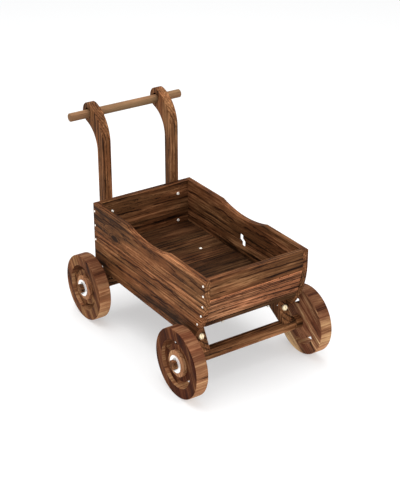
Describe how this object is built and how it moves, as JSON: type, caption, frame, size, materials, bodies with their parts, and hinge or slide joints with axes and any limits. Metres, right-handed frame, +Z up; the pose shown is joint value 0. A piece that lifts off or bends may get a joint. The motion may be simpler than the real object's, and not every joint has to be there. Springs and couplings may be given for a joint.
{
  "type": "wooden push wagon",
  "caption": "Open plank box on two wooden axles with turning solid wheels, pushed by a dowel held in two bent posts.",
  "frame": {"origin": "on the ground, under the middle of the whole wagon's length and width", "axes": "+Z up, +Y from the front of the box to the push handle, +X to the side with the knot hole"},
  "size_m": [0.429, 0.6716, 0.5634],
  "materials": {
    "plank_wood": "satin, charred and brushed brown stain",
    "floor_wood": "satin, charred and brushed brown stain",
    "frame_wood": "satin, charred and brushed brown stain",
    "wheel_wood": "satin, streaked light and dark brown",
    "hub_ring_wood": "satin light brown",
    "dowel_wood": "smooth tan",
    "nail_steel": "bright",
    "bright_washer": "bright zinc",
    "pin_steel": "plain",
    "brass_bolt": "polished"
  },
  "bodies": {
    "wagon": {"axle_pins": "pin_steel", "axle_screws": "nail_steel", "batten_screws": "nail_steel", "dowel_screws": "nail_steel", "floor_nails": "nail_steel", "floor_slat_1": "floor_wood", "floor_slat_2": "floor_wood", "floor_slat_3": "floor_wood", "floor_slat_4": "floor_wood", "floor_slat_5": "floor_wood", "front_axle": "frame_wood", "front_left_gusset": "frame_wood", "front_lower_plank": "plank_wood", "front_right_gusset": "frame_wood", "front_upper_plank": "plank_wood", "gusset_lag_bolts": "brass_bolt", "handle_dowel": "dowel_wood", "hub_washers": "bright_washer", "left_floor_batten": "floor_wood", "left_handle_post": "frame_wood", "left_side_lower_plank": "plank_wood", "left_side_nails": "nail_steel", "left_side_upper_plank": "plank_wood", "post_screws": "nail_steel", "rear_axle": "frame_wood", "rear_left_gusset": "frame_wood", "rear_lower_plank": "plank_wood", "rear_right_gusset": "frame_wood", "rear_upper_plank": "plank_wood", "right_floor_batten": "floor_wood", "right_handle_post": "frame_wood", "right_side_lower_plank": "plank_wood", "right_side_nails": "nail_steel", "right_side_upper_plank": "plank_wood", "spacer_sleeves": "plank_wood"},
    "wheel_front_left": {"front_left_wheel": "wheel_wood", "front_left_hub_ring": "hub_ring_wood"},
    "wheel_front_right": {"front_right_wheel": "wheel_wood", "front_right_hub_ring": "hub_ring_wood"},
    "wheel_rear_left": {"rear_left_wheel": "wheel_wood", "rear_left_hub_ring": "hub_ring_wood"},
    "wheel_rear_right": {"rear_right_wheel": "wheel_wood", "rear_right_hub_ring": "hub_ring_wood"}
  },
  "joints": [
    {"name": "front_left_wheel_spin", "type": "hinge", "parent": "wagon", "child": "wheel_front_left", "pos_m": [-0.1875, -0.24577, 0.09], "axis": [1, 0, 0], "continuous": true},
    {"name": "front_right_wheel_spin", "type": "hinge", "parent": "wagon", "child": "wheel_front_right", "pos_m": [0.1875, -0.24577, 0.09], "axis": [1, 0, 0], "continuous": true},
    {"name": "rear_left_wheel_spin", "type": "hinge", "parent": "wagon", "child": "wheel_rear_left", "pos_m": [-0.1875, 0.21023, 0.09], "axis": [1, 0, 0], "continuous": true},
    {"name": "rear_right_wheel_spin", "type": "hinge", "parent": "wagon", "child": "wheel_rear_right", "pos_m": [0.1875, 0.21023, 0.09], "axis": [1, 0, 0], "continuous": true}
  ]
}
